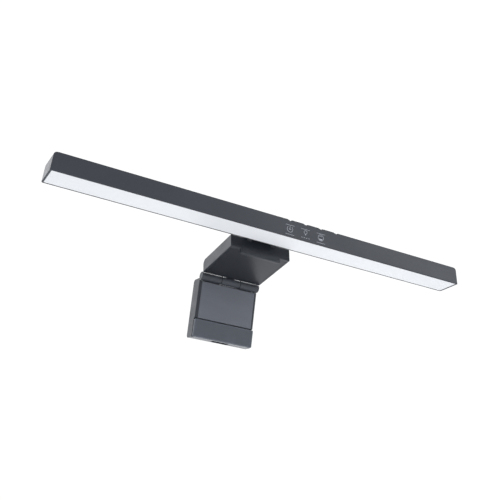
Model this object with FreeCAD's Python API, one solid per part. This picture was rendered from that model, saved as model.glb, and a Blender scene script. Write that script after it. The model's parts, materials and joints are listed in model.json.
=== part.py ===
import FreeCAD, Part
import os
from math import acos, atan2, cos, hypot, radians, sin

# A monitor light bar: a long lamp bar on a tilting joint, a clip head that sits on a monitor's top
# edge, and a weighted leg that hangs behind the monitor on a hinge.
# Millimetres. X runs along the bar, Y from the user to behind the monitor, Z up.
# The origin is the centre of the head's underside, where the head rests on the monitor.

# ---- lamp bar, in its own frame: origin on the tilt axis, y back, z up --------------------------
BAR_LENGTH = 401.6
BAR_DEPTH = 25.0
BAR_HEIGHT = 16.5
BAR_WALL = 1.5
BAR_FRONT_TOP_RADIUS = 0.4
BAR_FRONT_BOTTOM_RADIUS = 0.6
BAR_REAR_TOP_RADIUS = 5.2
BAR_REAR_BOTTOM_RADIUS = 0.4
PIVOT_TO_BAR_BACK = 5.2
BAR_ROLL_DEG = 7.2
CAP_THICKNESS = 3.5
CAP_WALL = 1.7
CAP_DRAFT = 1.2
CAP_TOP_RADIUS = 3.0
CAP_REAR_RADIUS = 2.5
CAP_EDGE_RADIUS = 0.6
CAP_TAB = 4.0
CAP_TAB_THICKNESS = 1.2
CAP_TAB_CLEARANCE = 0.1
DIFFUSER_THICKNESS = 1.6
DIFFUSER_RECESS = 0.1
DIFFUSER_GAP = 0.25
DIFFUSER_REAR_RADIUS = 1.5
FRONT_LIP = 1.1
REAR_LIP = 1.5

# ---- touch keys: the keys and the finger notches share one pitch --------------------------------
KEY_FIRST_X = 10.0
KEY_PITCH = 16.0
KEY_COUNT = 3
NOTCH_COUNT = 4
NOTCH_RADIUS = 5.0
NOTCH_DEPTH = 0.8
ICON_RELIEF = 0.06
ICON_Z = -0.9
ICON_RADIUS = 3.0
ICON_LINE = 0.4
ICON_LINE_HALF = 4.0
ICON_LINES_Z = (-6.0, 2.6)
POWER_STROKE_HALF = 1.6
BULB_RADIUS = 1.8
BULB_LIFT = 0.9
BULB_DOT_PITCH = 2.6
BULB_DOT_DROP = 2.6
HALF_DISC_RADIUS = 2.1
CONTACT_RADIUS = 3.4
CONTACT_Z = 0.2
TOUCH_BOARD_X0 = 0.0
TOUCH_BOARD_X1 = 60.0
TOUCH_BOARD_Z0 = -3.5
TOUCH_BOARD_Z1 = 5.0
TOUCH_BOARD_GAP = 1.2
TOUCH_BOARD_THICKNESS = 0.8
CONNECTOR_X0 = 1.0
CONNECTOR_X1 = 4.5
CONNECTOR_DEPTH = 1.9
CONNECTOR_Z = (1.2, 4.6)
CONTROLLER_X = (6.0, 11.0)
CONTROLLER_DEPTH = 1.0
CONTROLLER_Z = (-0.5, 4.0)
COIL_X = (20.0, 25.0)
COIL_DEPTH = 1.8
COIL_Z = (0.5, 4.6)

# ---- light engine inside the bar ----------------------------------------------------------------
SPREADER_HALF = 190.0
SPREADER_HALF_WIDTH = 7.0
SPREADER_BOTTOM = 4.1
SPREADER_TOP = 5.1
SPREADER_SHEET = 1.0
LED_ROW_Y = -17.7
LED_BOARD_HALF_WIDTH = 4.0
LED_BOARD_END_GAP = 2.0
LED_SLOT_END_GAP = 5.0
LED_CLEARANCE = 0.3
LED_BOARD_THICKNESS = 0.9
LED_HEIGHT = 0.7
LED_SIZE = 2.8
LED_PITCH = 20.0
LED_COUNT = 18
REFLECTOR_SHEET = 0.5
REFLECTOR_TOP_HALF = 4.6
REFLECTOR_FOOT_INSET = 1.6
REFLECTOR_OPEN = 0.01
BAR_LEAD_X = -8.0
BAR_LEAD_RADIUS = 0.5
BAR_LEAD_GAP = 2.0
BAR_LEAD_PLUG_Z = 3.0
BAR_LEAD_LIFT = 0.8
BAR_LEAD_BACK_GAP = 1.1
BAR_LEAD_BEND = 2.0
BAR_LEAD_DROP = 1.4

# ---- tilt bracket in the bar's back -------------------------------------------------------------
BRACKET_WEB_HALF = 7.0
BRACKET_WEB_HEIGHT = 2.8
BRACKET_PLATE_HALF = 20.0
BRACKET_PLATE_THICKNESS = 1.8
BRACKET_PLATE_TOP = 3.0
BRACKET_PLATE_BOTTOM = -3.4
BRACKET_SCREW_X = 15.0
BRACKET_SCREW_Z = -0.2
BRACKET_SCREW_SINK = 0.9
SMALL_SHANK = 0.9
SMALL_HEAD = 1.7
SMALL_HEAD_HEIGHT = 1.2
SOCKET_DEPTH_SHARE = 0.6
SOCKET_RADIUS_SHARE = 0.45

# ---- clip head ----------------------------------------------------------------------------------
HEAD_WIDTH = 60.0
HEAD_DEPTH = 54.7
HEAD_HEIGHT = 11.9
HEAD_WALL = 1.8
HEAD_REAR_TOP_RADIUS = 4.5
HEAD_FRONT_TOP_RADIUS = 0.8
HEAD_FRONT_BOTTOM_RADIUS = 0.35
HEAD_SIDE_RADIUS = 0.6
LIP_WIDTH = 40.0
LIP_DROP = 4.5
LIP_THICKNESS = 3.0
LIP_ROOT = 4.0
LIP_EDGE_RADIUS = 0.8
LIP_CORNER_RADIUS = 1.0
SEAT_PAD = 0.8
SEAT_PAD_CORNER = 1.2
LIP_PAD = 0.6
LIP_PAD_SIDE_INSET = 1.5
LIP_PAD_TOP = -0.4
LIP_PAD_BOTTOM = -4.0
COVER_THICKNESS = 1.8
SEAM = 0.25
BOSS_X = 24.0
BOSS_Y = 17.0
BOSS_FRONT_Y = -19.0
BOSS_RADIUS = 2.6
COVER_SCREW_SHANK = 1.1
COVER_SCREW_HEAD = 2.0
COVER_SCREW_SINK = 1.0
COVER_SCREW_ROOF_GAP = 1.0
HEAD_LEAD_RADIUS = 0.9
HEAD_LEAD_Z = 6.6
HEAD_LEAD_SHIFT = 4.0
HEAD_LEAD_YS = (-22.0, 8.0, 16.0, 24.0)

# ---- tilt joint ---------------------------------------------------------------------------------
TILT_Y = -30.5
TILT_Z = 15.2
TILT_SHAFT_RADIUS = 2.0
TILT_BORE_RADIUS = 2.05
TILT_KNUCKLE_RADIUS = 4.2
TILT_KNUCKLE_HALF = 9.0
TILT_EAR_RADIUS = 4.6
TILT_EAR_INNER = 9.8
TILT_EAR_OUTER = 14.0
TILT_EAR_BACK = -17.5
TILT_EAR_LEAN_DEG = 35.0
TILT_EAR_CHAMFER = 0.6
TILT_EAR_FRONT_GAP = 0.4
TILT_WASHER = 0.5
YOKE_PLATE_HALF = 17.0
YOKE_PLATE_BACK = -9.0
YOKE_PLATE_THICKNESS = 2.0
YOKE_SCREW_X = 6.0
YOKE_SCREW_Y = -15.0
SHAFT_HEAD_RADIUS = 3.2
SHAFT_HEAD = 1.2
SHAFT_TIP = 0.5
DISC_SPRING = 0.4
DISC_SPRING_RADII = (3.6, 3.2)
NUT_HEIGHT = 1.8
NUT_FLATS = 5.5

# ---- leg hinge: the head holds the middle knuckle, the leg the two outer ones -------------------
HINGE_Y = 31.3
HINGE_Z = -2.0
HINGE_RADIUS = 3.95
HINGE_KNUCKLE_INNER = 10.0
HINGE_KNUCKLE_HALF = 9.6
HINGE_END_RADIUS = 0.8
HINGE_SPLIT_RADIUS = 0.3
HINGE_NECK_HALF = 4.0
HINGE_NECK_DEG = 115.0
HINGE_PIN_RADIUS = 1.5
HINGE_BUSH_RADIUS = 2.3
HINGE_BUSH_BORE = 1.55
HINGE_CAP_RADIUS = 2.6
HINGE_CAP_THICKNESS = 0.8
HINGE_PLATE_HALF = 21.0
HINGE_PLATE_FRONT = 12.0
HINGE_PLATE_THICKNESS = 2.0
HINGE_SCREW_X = 15.0
HINGE_SCREW_Y = 16.0

# ---- leg, in its own frame: origin on the hinge axis, hanging straight down ---------------------
LEG_SWING_DEG = 14.4
LEG_WIDTH = 60.4
LEG_FRONT = 0.25
LEG_BACK = 14.05
LEG_TOP = -1.9
LEG_BOTTOM = -57.0
LEG_WALL = 1.8
LEG_BACK_RADIUS = 3.0
LEG_FRONT_RADIUS = 2.0
LEG_TROUGH_RADIUS = 4.3
LEG_PANEL_TOP = -4.6
LEG_PANEL_BOTTOM = -39.4
LEG_PANEL_THICKNESS = 1.6
LEG_PANEL_MARGIN = 2.3
LEG_PANEL_CLEARANCE = 0.15
LEG_PANEL_RADIUS = 0.45
LEG_LEDGE = 1.0
LEG_LEDGE_HALF = 26.2
PAD_TOP = -40.3
PAD_PROUD = 0.7
PAD_THICKNESS = 2.6
PAD_CORNER_RADIUS = 1.2
PAD_RIM_RADIUS = 0.7
PAD_GROOVE = 1.2
PAD_GROOVE_DEPTH = 2.5
PAD_WALL = 1.9
PORT_WIDTH = 17.0
PORT_DEPTH = 6.4
PORT_HEIGHT = 5.2
PORT_Y = 6.4
PORT_CORNER = 1.2
PORT_WALL = 1.0
LEG_FLANGE_HALF = 24.0
LEG_FLANGE_TOP = -7.0
LEG_FLANGE_BOTTOM = -9.2
LEG_FLANGE_FRONT = 2.6
LEG_FLANGE_BACK = 12.0
LEG_WEB_FRONT = 1.9
LEG_WEB_BACK = 8.0
LEG_WEB_TOP_GAP = 0.2
WEIGHT_HALF = 26.5
WEIGHT_FRONT = 3.0
WEIGHT_BACK = 10.8
WEIGHT_TOP = -11.0
WEIGHT_BOTTOM = -39.0
WEIGHT_CORNER = 1.5
WEIGHT_GROOVE_HALF = 3.0
WEIGHT_GROOVE_DEPTH = 3.0
WEIGHT_SCREW_SINK = 1.4
WEIGHT_BOSS_X = 16.0
WEIGHT_BOSS_Z = -24.0
WEIGHT_BOSS_RADIUS = 2.4
LEG_LEAD_RADIUS = 0.8
LEG_LEAD_START_Z = -42.4
LEG_LEAD_BEND_Z = -39.6

# ---- USB-C receptacle and its board -------------------------------------------------------------
USB_WIDTH = 8.94
USB_THICKNESS = 3.26
USB_LENGTH = 7.3
USB_SHELL = 0.3
USB_BACK_WALL = 1.2
TONGUE_WIDTH = 6.7
TONGUE_THICKNESS = 0.7
TONGUE_LENGTH = 4.6
BOARD_TOP = -41.0
BOARD_HALF = 12.0
BOARD_THICKNESS = 1.0

# ---- derived places -----------------------------------------------------------------------------
BAR_TIP = BAR_LENGTH / 2
BAR_BACK = -PIVOT_TO_BAR_BACK
BAR_FRONT = BAR_BACK - BAR_DEPTH
BAR_TOP = BAR_HEIGHT / 2
BAR_BOTTOM = -BAR_HEIGHT / 2
HOUSING_HALF = BAR_TIP - CAP_DRAFT - CAP_THICKNESS
INNER_FRONT = BAR_FRONT + BAR_WALL
INNER_BACK = BAR_BACK - BAR_WALL
INNER_TOP = BAR_TOP - BAR_WALL
DIFFUSER_HALF = BAR_TIP - CAP_WALL
CAP_INNER = DIFFUSER_HALF - CAP_DRAFT
DIFFUSER_TOP = BAR_BOTTOM + DIFFUSER_RECESS + DIFFUSER_THICKNESS
LED_BOARD_BOTTOM = SPREADER_BOTTOM - LED_BOARD_THICKNESS
TOUCH_BOARD_BACK = INNER_FRONT + TOUCH_BOARD_GAP + TOUCH_BOARD_THICKNESS
HEAD_HALF = HEAD_WIDTH / 2
HEAD_FRONT = -HEAD_DEPTH / 2
HEAD_BACK = HEAD_DEPTH / 2
HEAD_ROOF = HEAD_HEIGHT - HEAD_WALL
COVER_HALF = HEAD_HALF - HEAD_WALL
LIP_BACK = HEAD_FRONT + LIP_THICKNESS
COVER_FRONT = LIP_BACK + LIP_PAD
COVER_BACK = HEAD_BACK - HEAD_WALL
COVER_TOP = SEAT_PAD + COVER_THICKNESS
YOKE_LOW = HEAD_ROOF - YOKE_PLATE_THICKNESS
HINGE_PLATE_TOP = COVER_TOP + HINGE_PLATE_THICKNESS
OUTER_KNUCKLES = ((-HEAD_HALF, -HINGE_KNUCKLE_INNER), (HINGE_KNUCKLE_INNER, HEAD_HALF))
LEG_HALF = LEG_WIDTH / 2
LEG_INNER_FRONT = LEG_FRONT + LEG_PANEL_THICKNESS
LEG_INNER_BACK = LEG_BACK - LEG_WALL
PAD_FRONT = LEG_FRONT - PAD_PROUD
PAD_BACK = PAD_FRONT + PAD_THICKNESS
PAD_WALL_BACK = PAD_BACK + PAD_WALL
USB_MOUTH = LEG_BOTTOM + PORT_HEIGHT
USB_END = USB_MOUTH + USB_LENGTH - USB_BACK_WALL
BOARD_FRONT = PORT_Y + USB_THICKNESS / 2

X_DIR = FreeCAD.Vector(1, 0, 0)
Y_DIR = FreeCAD.Vector(0, 1, 0)
Z_DIR = FreeCAD.Vector(0, 0, 1)
FAR = 300.0


# ---- shape helpers ------------------------------------------------------------------------------
def box(x0, x1, y0, y1, z0, z1):
    return Part.makeBox(x1 - x0, y1 - y0, z1 - z0, FreeCAD.Vector(x0, y0, z0))


def block(half_x, y0, y1, z0, z1):
    """A box centred on x = 0."""
    return box(-half_x, half_x, y0, y1, z0, z1)


def rod_x(radius, x0, x1, y=0.0, z=0.0):
    return Part.makeCylinder(radius, x1 - x0, FreeCAD.Vector(x0, y, z), X_DIR)


def rod_y(radius, y0, y1, x, z):
    return Part.makeCylinder(radius, y1 - y0, FreeCAD.Vector(x, y0, z), Y_DIR)


def rod_z(radius, z0, z1, x, y):
    return Part.makeCylinder(radius, z1 - z0, FreeCAD.Vector(x, y, z0), Z_DIR)


def prism_x(outline, x0, x1):
    """A closed (y, z) outline pulled along X."""
    points = [FreeCAD.Vector(x0, y, z) for y, z in outline]
    face = Part.Face(Part.makePolygon(points + points[:1]))
    return face.extrude(FreeCAD.Vector(x1 - x0, 0, 0))


def joined(*shapes):
    """One solid from shapes that touch or overlap."""
    result = shapes[0].fuse(list(shapes[1:]))
    return result.removeSplitter()


def mirrored_pair(shape):
    """The shape and its mirror image across x = 0, as separate solids."""
    twin = shape.mirror(FreeCAD.Vector(0, 0, 0), X_DIR)
    return Part.makeCompound([shape, twin])


def rounded(shape, radius, direction, wanted):
    """Round the straight edges along direction whose middle point is wanted."""
    chosen = []
    for edge in shape.Edges:
        if not isinstance(edge.Curve, Part.Line):
            continue
        along = abs(edge.tangentAt(edge.FirstParameter).dot(direction)) > 0.999
        if along and wanted(edge.CenterOfMass):
            chosen.append(edge)
    return shape.makeFillet(radius, chosen)


def near(value, target):
    return abs(value - target) < 0.01


def screw_z(x, y, head_z, head_height, head_radius, shank_radius, tip_z):
    """A pan-head screw along Z: its head starts at head_z and its tip is at tip_z."""
    direction = 1 if tip_z > head_z else -1
    seat_z = head_z + direction * head_height
    head = rod_z(head_radius, min(head_z, seat_z), max(head_z, seat_z), x, y)
    shank = rod_z(shank_radius, min(seat_z, tip_z), max(seat_z, tip_z), x, y)
    socket_end = head_z + direction * SOCKET_DEPTH_SHARE * head_height
    socket_radius = SOCKET_RADIUS_SHARE * head_radius
    socket = rod_z(socket_radius, min(head_z, socket_end), max(head_z, socket_end), x, y)
    return joined(head, shank).cut(socket)


def small_screw_pair(x, y, head_z, tip_z):
    """Two small screws along Z, one each side of x = 0."""
    return mirrored_pair(screw_z(x, y, head_z, SMALL_HEAD_HEIGHT, SMALL_HEAD, SMALL_SHANK, tip_z))


def lead(points, radius):
    """A wire bundle: straight runs through the points with a ball at each bend."""
    vectors = [FreeCAD.Vector(*point) for point in points]
    runs = []
    for start, end in zip(vectors, vectors[1:]):
        run = end - start
        runs.append(Part.makeCylinder(radius, run.Length, start, run))
    for bend in vectors[1:-1]:
        runs.append(Part.makeSphere(radius, bend))
    return joined(*runs)


def place_bar(shape):
    """From the bar's frame to the model's: roll about the tilt axis and move onto it."""
    placed = shape.copy()
    placed.rotate(FreeCAD.Vector(0, 0, 0), X_DIR, BAR_ROLL_DEG)
    placed.translate(FreeCAD.Vector(0, TILT_Y, TILT_Z))
    return placed


def place_leg(shape):
    """From the leg's frame to the model's: swing about the hinge axis and move onto it."""
    placed = shape.copy()
    placed.rotate(FreeCAD.Vector(0, 0, 0), X_DIR, LEG_SWING_DEG)
    placed.translate(FreeCAD.Vector(0, HINGE_Y, HINGE_Z))
    return placed


# ---- lamp bar -----------------------------------------------------------------------------------
def bar_section(x0, x1):
    """The bar's outer form between two places along it."""
    solid = box(x0, x1, BAR_FRONT, BAR_BACK, BAR_BOTTOM, BAR_TOP)
    corners = (
        (BAR_REAR_TOP_RADIUS, BAR_BACK, BAR_TOP),
        (BAR_REAR_BOTTOM_RADIUS, BAR_BACK, BAR_BOTTOM),
        (BAR_FRONT_TOP_RADIUS, BAR_FRONT, BAR_TOP),
        (BAR_FRONT_BOTTOM_RADIUS, BAR_FRONT, BAR_BOTTOM),
    )
    for radius, y, z in corners:
        solid = rounded(solid, radius, X_DIR, lambda m: near(m.y, y) and near(m.z, z))
    return solid


def bar_cavity(x0, x1, clearance):
    """The hollow inside the bar's walls, or a plug that fits it with the given clearance."""
    front = INNER_FRONT + clearance
    back = INNER_BACK - clearance
    hollow = box(x0, x1, front, back, DIFFUSER_TOP, INNER_TOP - clearance)
    inner_radius = BAR_REAR_TOP_RADIUS - BAR_WALL
    return rounded(hollow, inner_radius, X_DIR, lambda m: near(m.y, back) and m.z > 0)


def diffuser_form(front, low):
    """The diffuser's outline, round at its two rear corners, from a front edge and a lower face up."""
    back = BAR_BACK - REAR_LIP
    strip = block(DIFFUSER_HALF, front, back, low, DIFFUSER_TOP)
    return rounded(strip, DIFFUSER_REAR_RADIUS, Z_DIR, lambda m: near(m.y, back))


def diffuser_opening():
    return diffuser_form(BAR_FRONT + FRONT_LIP, BAR_BOTTOM - 1)


def make_diffuser():
    """Flat frosted strip with a narrow shadow gap behind the front lip."""
    return diffuser_form(BAR_FRONT + FRONT_LIP + DIFFUSER_GAP, BAR_BOTTOM + DIFFUSER_RECESS)


def make_tilt_bracket():
    """Cast bracket: a plate inside the bar's back wall, a web through the wall and a knuckle."""
    plate_front = INNER_BACK - BRACKET_PLATE_THICKNESS
    plate = block(BRACKET_PLATE_HALF, plate_front, INNER_BACK, BRACKET_PLATE_BOTTOM, BRACKET_PLATE_TOP)
    web = block(BRACKET_WEB_HALF, INNER_BACK, 0, -BRACKET_WEB_HEIGHT, BRACKET_WEB_HEIGHT)
    knuckle = rod_x(TILT_KNUCKLE_RADIUS, -TILT_KNUCKLE_HALF, TILT_KNUCKLE_HALF)
    body = joined(plate, web, knuckle)
    body = body.cut(rod_x(TILT_BORE_RADIUS, -FAR, FAR))
    for x in (-BRACKET_SCREW_X, BRACKET_SCREW_X):
        body = body.cut(rod_y(SMALL_SHANK, plate_front, INNER_BACK, x, BRACKET_SCREW_Z))
    return body


def make_bracket_screws():
    """Two screws through the bar's back wall into the bracket, heads sunk in the wall."""
    tip = INNER_BACK - BRACKET_PLATE_THICKNESS
    seat = BAR_BACK - BRACKET_SCREW_SINK
    socket_end = BAR_BACK - BRACKET_SCREW_SINK / 2
    head = rod_y(SMALL_HEAD, seat, BAR_BACK, BRACKET_SCREW_X, BRACKET_SCREW_Z)
    socket = rod_y(SMALL_HEAD / 2, socket_end, BAR_BACK, BRACKET_SCREW_X, BRACKET_SCREW_Z)
    shank = rod_y(SMALL_SHANK, tip, seat, BRACKET_SCREW_X, BRACKET_SCREW_Z)
    return mirrored_pair(joined(head, shank).cut(socket))


def make_bar_housing():
    """Long moulded channel, open below, with a rebate for the diffuser and four finger notches."""
    housing = bar_section(-HOUSING_HALF, HOUSING_HALF)
    housing = housing.cut(bar_cavity(-FAR, FAR, 0.0))
    housing = housing.cut(diffuser_opening())
    web_slot = block(BRACKET_WEB_HALF, INNER_BACK, BAR_BACK, -BRACKET_WEB_HEIGHT, BRACKET_WEB_HEIGHT)
    housing = housing.cut(web_slot)
    seat = BAR_BACK - BRACKET_SCREW_SINK
    for x in (-BRACKET_SCREW_X, BRACKET_SCREW_X):
        housing = housing.cut(rod_y(SMALL_SHANK, INNER_BACK, BAR_BACK, x, BRACKET_SCREW_Z))
        housing = housing.cut(rod_y(SMALL_HEAD, seat, BAR_BACK, x, BRACKET_SCREW_Z))
    for index in range(NOTCH_COUNT):
        housing = housing.cut(finger_notch(KEY_FIRST_X + index * KEY_PITCH))
    return housing


def finger_notch(x):
    """A shallow round groove cut slantwise across the top front edge."""
    slant = FreeCAD.Vector(0, 1, 1).normalize()
    outward = FreeCAD.Vector(0, -1, 1).normalize()
    edge = FreeCAD.Vector(x, BAR_FRONT, BAR_TOP)
    centre = edge + outward * (NOTCH_RADIUS - NOTCH_DEPTH)
    return Part.makeCylinder(NOTCH_RADIUS, 2 * NOTCH_RADIUS, centre - slant * NOTCH_RADIUS, slant)


def cap_form():
    """Room for an end cap: its end leans outwards towards the bottom and its outer edges are round."""
    outline = [
        FreeCAD.Vector(HOUSING_HALF, BAR_FRONT, BAR_BOTTOM),
        FreeCAD.Vector(BAR_TIP, BAR_FRONT, BAR_BOTTOM),
        FreeCAD.Vector(BAR_TIP - CAP_DRAFT, BAR_FRONT, BAR_TOP),
        FreeCAD.Vector(HOUSING_HALF, BAR_FRONT, BAR_TOP),
    ]
    face = Part.Face(Part.makePolygon(outline + outline[:1]))
    form = face.extrude(FreeCAD.Vector(0, BAR_DEPTH, 0))
    lean = FreeCAD.Vector(-CAP_DRAFT, 0, BAR_HEIGHT).normalize()
    form = rounded(form, CAP_TOP_RADIUS, Y_DIR, lambda m: m.x > HOUSING_HALF + 1 and near(m.z, BAR_TOP))
    for radius, y in ((CAP_REAR_RADIUS, BAR_BACK), (CAP_EDGE_RADIUS, BAR_FRONT)):
        form = rounded(form, radius, lean, lambda m: near(m.y, y))
    return form


def make_end_cap(side):
    """Hollow end cap with a round top corner and two tabs that plug into the housing."""
    cap = bar_section(HOUSING_HALF, BAR_TIP).common(cap_form())
    cap = cap.cut(bar_cavity(HOUSING_HALF, CAP_INNER, 0.0))
    cap = cap.cut(diffuser_opening())
    tab_start = HOUSING_HALF - CAP_TAB
    plug = bar_cavity(tab_start, CAP_INNER, CAP_TAB_CLEARANCE)
    plug = plug.cut(bar_cavity(tab_start, CAP_INNER, CAP_TAB_THICKNESS))
    plug = plug.cut(box(tab_start, CAP_INNER, INNER_FRONT, INNER_BACK, DIFFUSER_TOP, 0.0))
    cap = joined(cap, plug)
    if side < 0:
        cap = cap.mirror(FreeCAD.Vector(0, 0, 0), X_DIR)
    return cap


def make_heat_spreader():
    """Folded aluminium strip that stiffens the bar and carries the light board, with a wire gap."""
    front = LED_ROW_Y - SPREADER_HALF_WIDTH
    back = LED_ROW_Y + SPREADER_HALF_WIDTH
    strip = block(SPREADER_HALF, front, back, SPREADER_BOTTOM, SPREADER_TOP)
    front_fold = block(SPREADER_HALF, front, front + SPREADER_SHEET, SPREADER_TOP, INNER_TOP)
    back_fold = block(SPREADER_HALF, back - SPREADER_SHEET, back, SPREADER_TOP, INNER_TOP)
    folded = joined(strip, front_fold, back_fold)
    gap_start = BAR_LEAD_X - BAR_LEAD_GAP
    gap_end = BAR_LEAD_X + BAR_LEAD_GAP
    wire_gap = box(gap_start, gap_end, front, back, SPREADER_TOP, INNER_TOP)
    return folded.cut(wire_gap)


def make_led_board():
    front = LED_ROW_Y - LED_BOARD_HALF_WIDTH
    back = LED_ROW_Y + LED_BOARD_HALF_WIDTH
    half = SPREADER_HALF - LED_BOARD_END_GAP
    return block(half, front, back, LED_BOARD_BOTTOM, SPREADER_BOTTOM)


def make_leds(offset):
    """One colour's chips: every second place along the board."""
    chips = []
    front = LED_ROW_Y - LED_SIZE / 2
    back = LED_ROW_Y + LED_SIZE / 2
    start = -(LED_COUNT - 0.5) * LED_PITCH / 2 + offset
    for index in range(LED_COUNT):
        x = start + index * LED_PITCH
        chips.append(box(x, x + LED_SIZE, front, back, LED_BOARD_BOTTOM - LED_HEIGHT, LED_BOARD_BOTTOM))
    return Part.makeCompound(chips)


def make_reflector():
    """White trough from the light board down to the diffuser, with a slot for the chips."""
    top = LED_BOARD_BOTTOM
    low = DIFFUSER_TOP
    front_foot = INNER_FRONT + REFLECTOR_FOOT_INSET
    rear_foot = INNER_BACK - REFLECTOR_FOOT_INSET
    outer = [
        (LED_ROW_Y - REFLECTOR_TOP_HALF, top),
        (LED_ROW_Y + REFLECTOR_TOP_HALF, top),
        (rear_foot, low),
        (front_foot, low),
    ]
    inner = [
        (LED_ROW_Y - REFLECTOR_TOP_HALF + REFLECTOR_SHEET, top - REFLECTOR_SHEET),
        (LED_ROW_Y + REFLECTOR_TOP_HALF - REFLECTOR_SHEET, top - REFLECTOR_SHEET),
        (rear_foot - REFLECTOR_SHEET, low - REFLECTOR_OPEN),
        (front_foot + REFLECTOR_SHEET, low - REFLECTOR_OPEN),
    ]
    trough = prism_x(outer, -SPREADER_HALF, SPREADER_HALF)
    trough = trough.cut(prism_x(inner, -FAR, FAR))
    slot_reach = SPREADER_HALF - LED_SLOT_END_GAP
    slot_half = LED_SIZE / 2 + LED_CLEARANCE
    slot = block(slot_reach, LED_ROW_Y - slot_half, LED_ROW_Y + slot_half, top - 1, top + 1)
    return trough.cut(slot)


def make_touch_board():
    """Control board just behind the front wall, with its chips on the inner side."""
    front = INNER_FRONT + TOUCH_BOARD_GAP
    return box(TOUCH_BOARD_X0, TOUCH_BOARD_X1, front, TOUCH_BOARD_BACK, TOUCH_BOARD_Z0, TOUCH_BOARD_Z1)


def make_touch_contacts():
    """Springy round pads that press against the front wall behind each key."""
    contacts = []
    for index in range(KEY_COUNT):
        x = KEY_FIRST_X + index * KEY_PITCH
        contacts.append(rod_y(CONTACT_RADIUS, INNER_FRONT, INNER_FRONT + TOUCH_BOARD_GAP, x, CONTACT_Z))
    return Part.makeCompound(contacts)


def make_driver_chips():
    """Controller, coil and connector on the inner side of the control board."""
    front = TOUCH_BOARD_BACK
    controller = box(*CONTROLLER_X, front, front + CONTROLLER_DEPTH, *CONTROLLER_Z)
    coil = box(*COIL_X, front, front + COIL_DEPTH, *COIL_Z)
    connector = box(CONNECTOR_X0, CONNECTOR_X1, front, front + CONNECTOR_DEPTH, *CONNECTOR_Z)
    return Part.makeCompound([controller, coil, connector])


def make_bar_lead():
    """Wires from the control board's connector, over the light board and down to the bracket."""
    start_y = TOUCH_BOARD_BACK + CONNECTOR_DEPTH / 2
    level = SPREADER_TOP + BAR_LEAD_LIFT
    bracket_y = INNER_BACK - BAR_LEAD_BACK_GAP
    route = [
        (CONNECTOR_X0, start_y, BAR_LEAD_PLUG_Z),
        (BAR_LEAD_X, start_y, BAR_LEAD_PLUG_Z),
        (BAR_LEAD_X, start_y, level),
        (BAR_LEAD_X, bracket_y - BAR_LEAD_BEND, level),
        (BAR_LEAD_X, bracket_y, level - BAR_LEAD_DROP),
        (BAR_LEAD_X, bracket_y, BRACKET_PLATE_TOP),
    ]
    return lead(route, BAR_LEAD_RADIUS)


def mark_disc(radius, x, z):
    return rod_y(radius, BAR_FRONT - ICON_RELIEF, BAR_FRONT, x, z)


def mark_ring(radius, x, z):
    return mark_disc(radius, x, z).cut(mark_disc(radius - ICON_LINE, x, z))


def mark_stroke(x0, x1, z0, z1):
    return box(x0, x1, BAR_FRONT - ICON_RELIEF, BAR_FRONT, z0, z1)


def make_touch_icons():
    """Printed marks on the front face: power, brightness and light colour, each between two lines."""
    power_x, bright_x, colour_x = [KEY_FIRST_X + index * KEY_PITCH for index in range(KEY_COUNT)]
    marks = []
    for x in (power_x, bright_x, colour_x):
        for z in ICON_LINES_Z:
            marks.append(mark_stroke(x - ICON_LINE_HALF, x + ICON_LINE_HALF, z, z + ICON_LINE))
    marks.append(mark_ring(ICON_RADIUS, power_x, ICON_Z))
    stroke_low = ICON_Z - POWER_STROKE_HALF
    stroke_high = ICON_Z + POWER_STROKE_HALF
    marks.append(mark_stroke(power_x - ICON_LINE / 2, power_x + ICON_LINE / 2, stroke_low, stroke_high))
    marks.append(mark_ring(BULB_RADIUS, bright_x, ICON_Z + BULB_LIFT))
    for offset in (-BULB_DOT_PITCH, 0.0, BULB_DOT_PITCH):
        marks.append(mark_disc(ICON_LINE, bright_x + offset, ICON_Z - BULB_DOT_DROP))
    marks.append(mark_ring(ICON_RADIUS, colour_x, ICON_Z))
    full = mark_disc(HALF_DISC_RADIUS, colour_x, ICON_Z)
    upper = mark_stroke(colour_x - ICON_RADIUS, colour_x + ICON_RADIUS, ICON_Z, ICON_Z + ICON_RADIUS)
    marks.append(full.cut(upper))
    return Part.makeCompound(marks)


# ---- clip head ----------------------------------------------------------------------------------
def boss_places():
    return [(side * BOSS_X, y) for side in (-1, 1) for y in (BOSS_FRONT_Y, BOSS_Y)]


def head_outer():
    body = block(HEAD_HALF, HEAD_FRONT, HEAD_BACK, 0.0, HEAD_HEIGHT)
    corners = (
        (HEAD_REAR_TOP_RADIUS, HEAD_BACK, HEAD_HEIGHT),
        (HEAD_FRONT_TOP_RADIUS, HEAD_FRONT, HEAD_HEIGHT),
        (HEAD_FRONT_BOTTOM_RADIUS, HEAD_FRONT, 0.0),
    )
    for radius, y, z in corners:
        body = rounded(body, radius, X_DIR, lambda m: near(m.y, y) and near(m.z, z))
    side_edges = []
    for edge in body.Edges:
        bounds = edge.BoundBox
        on_side = near(bounds.XMin, bounds.XMax) and near(abs(bounds.XMin), HEAD_HALF)
        if on_side and edge.CenterOfMass.z > HEAD_FRONT_BOTTOM_RADIUS:
            side_edges.append(edge)
    return body.makeFillet(HEAD_SIDE_RADIUS, side_edges)


def head_hollow():
    """The room inside the casing's walls, open below."""
    hollow = block(COVER_HALF, HEAD_FRONT + HEAD_WALL, COVER_BACK, -1.0, HEAD_ROOF)
    inner_radius = HEAD_REAR_TOP_RADIUS - HEAD_WALL
    return rounded(hollow, inner_radius, X_DIR, lambda m: near(m.y, COVER_BACK) and near(m.z, HEAD_ROOF))


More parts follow.
